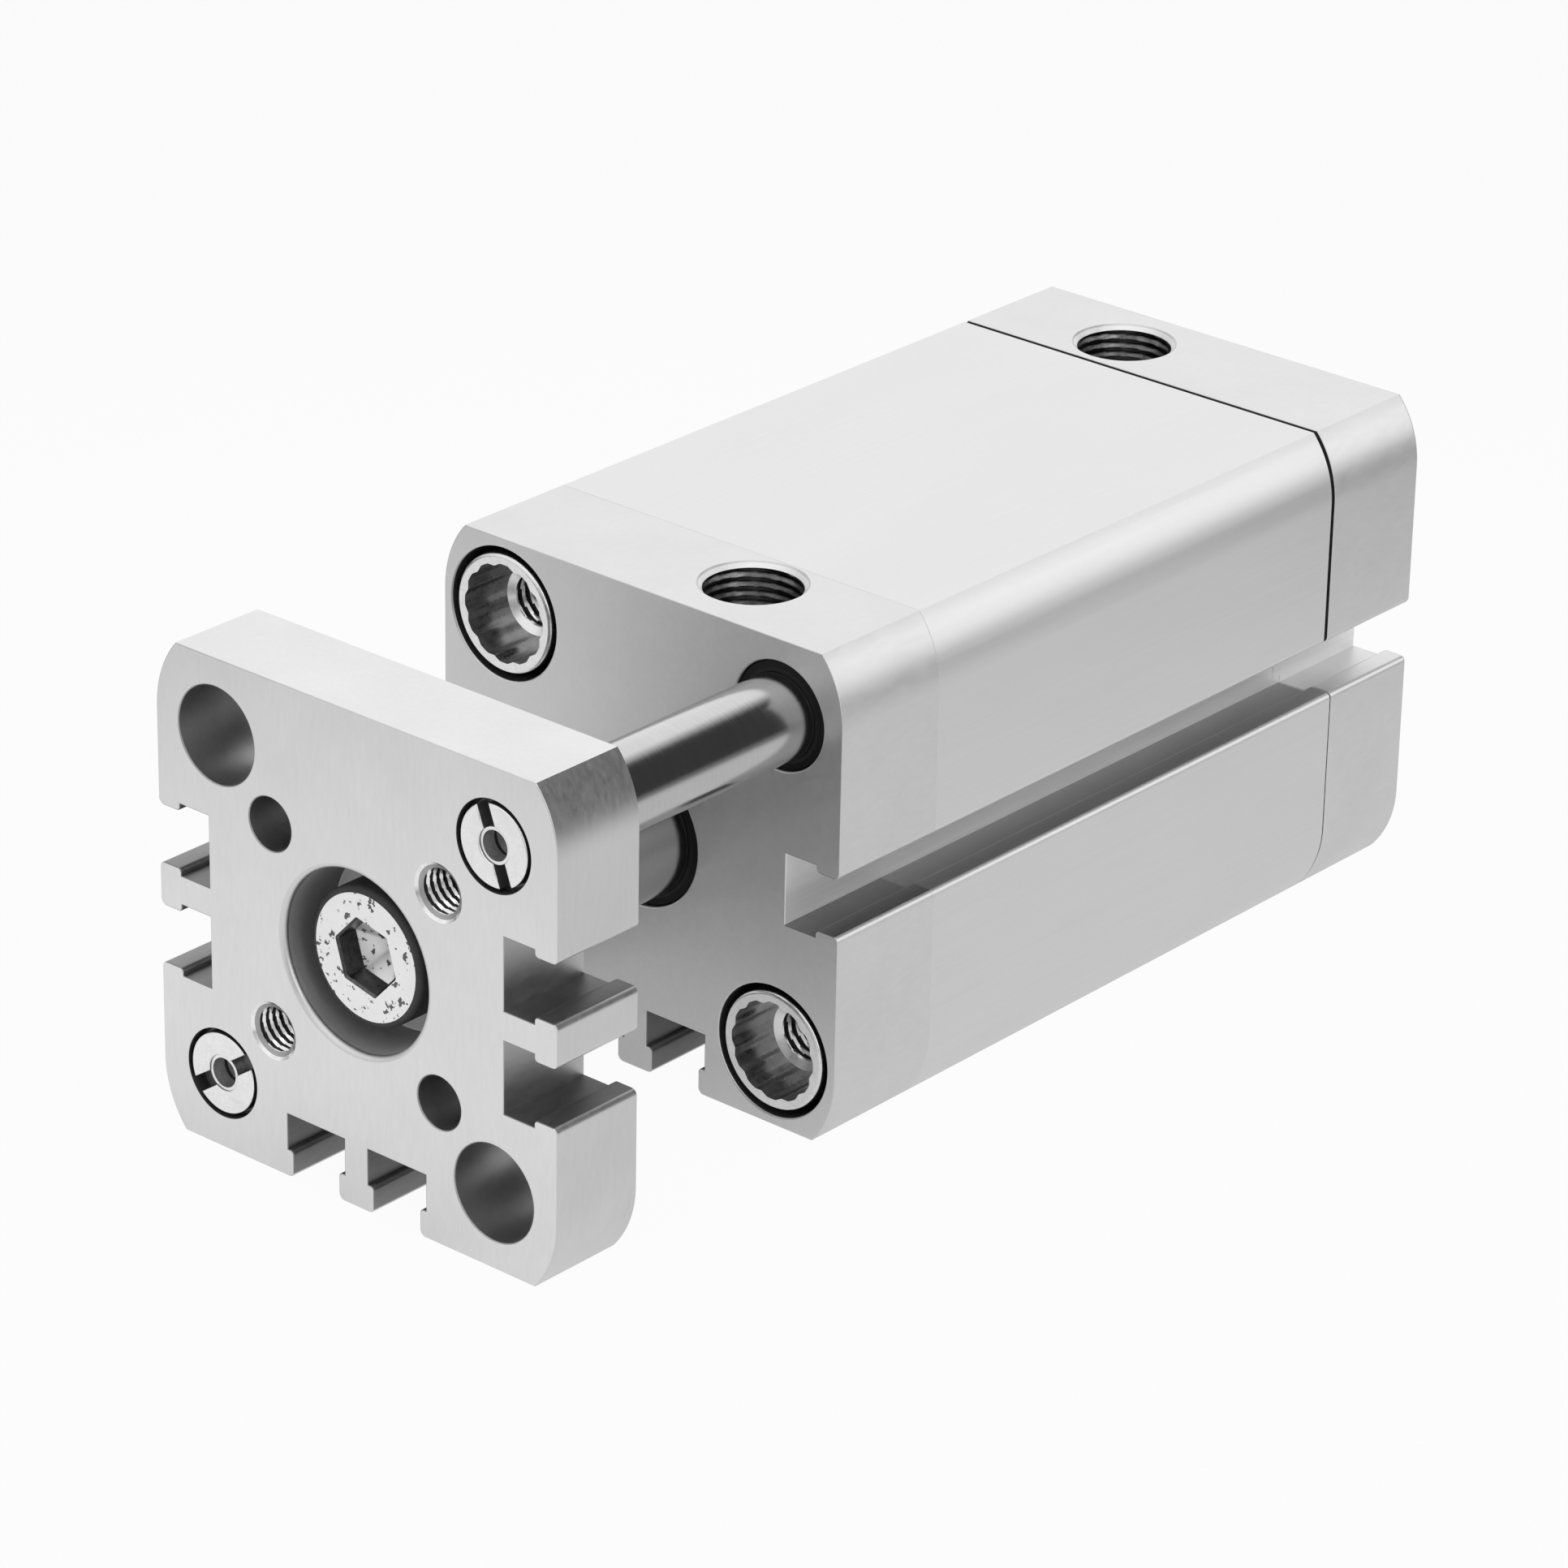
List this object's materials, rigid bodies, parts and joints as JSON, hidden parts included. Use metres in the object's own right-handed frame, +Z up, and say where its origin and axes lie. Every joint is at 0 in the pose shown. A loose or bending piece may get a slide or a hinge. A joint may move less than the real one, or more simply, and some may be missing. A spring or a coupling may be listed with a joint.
{
  "type": "guided pneumatic cylinder",
  "caption": "Compact air cylinder with a square slotted body, a central piston rod and side guide rods carrying a square yoke plate that slides out and back.",
  "frame": {"origin": "middle of the rear mounting face, on the piston rod axis", "axes": "+Z up to the air ports, +Y from the yoke plate to the rear face along the rods, +X to the side with the rear port's opposite offset; the rods come out along -Y"},
  "size_m": [0.047, 0.12, 0.047],
  "materials": {
    "cap_aluminium": "matt anodised",
    "barrel_aluminium": "matt anodised",
    "yoke_aluminium": "fine milled, anodised",
    "piston_aluminium": "turned",
    "polished_steel": "ground and polished",
    "bright_steel": "turned, bright plated",
    "zinc_steel": "bright plated",
    "wiper_rubber": "smooth black",
    "seal_rubber": "smooth black",
    "cushion_plastic": "soft buffer",
    "band_plastic": "smooth",
    "bush_bronze": "sintered",
    "magnet": "plastic-bonded magnet"
  },
  "bodies": {
    "cylinder_body": {"bearing_cap": "cap_aluminium", "cylinder_barrel": "barrel_aluminium", "end_cap": "cap_aluminium", "front_cap_seal": "seal_rubber", "rear_cap_seal": "seal_rubber", "front_cushion_ring": "cushion_plastic", "rear_cushion_ring": "cushion_plastic", "rod_wiper": "wiper_rubber", "rod_bush": "bush_bronze", "rod_seal": "seal_rubber", "rod_seal_retainer": "zinc_steel", "guide_wiper_upper": "wiper_rubber", "guide_wiper_lower": "wiper_rubber", "guide_bush_upper": "bush_bronze", "guide_bush_lower": "bush_bronze", "front_collar_screws": "bright_steel", "rear_collar_screws": "bright_steel"},
    "yoke_and_rods": {"yoke_plate": "yoke_aluminium", "yoke_screw": "zinc_steel", "piston_rod": "polished_steel", "guide_rod_upper": "polished_steel", "guide_rod_lower": "polished_steel", "guide_ring_upper": "band_plastic", "guide_ring_lower": "band_plastic", "guide_ring_clips": "zinc_steel", "piston_front_half": "piston_aluminium", "piston_rear_half": "piston_aluminium", "magnet_ring": "magnet", "piston_seal_front": "seal_rubber", "piston_seal_rear": "seal_rubber", "piston_guide_band": "band_plastic", "piston_screw": "zinc_steel"}
  },
  "joints": [
    {"name": "rod_stroke", "type": "slide", "parent": "cylinder_body", "child": "yoke_and_rods", "axis": [0, -1, 0], "range_m": [-0.02, 0.02]}
  ]
}
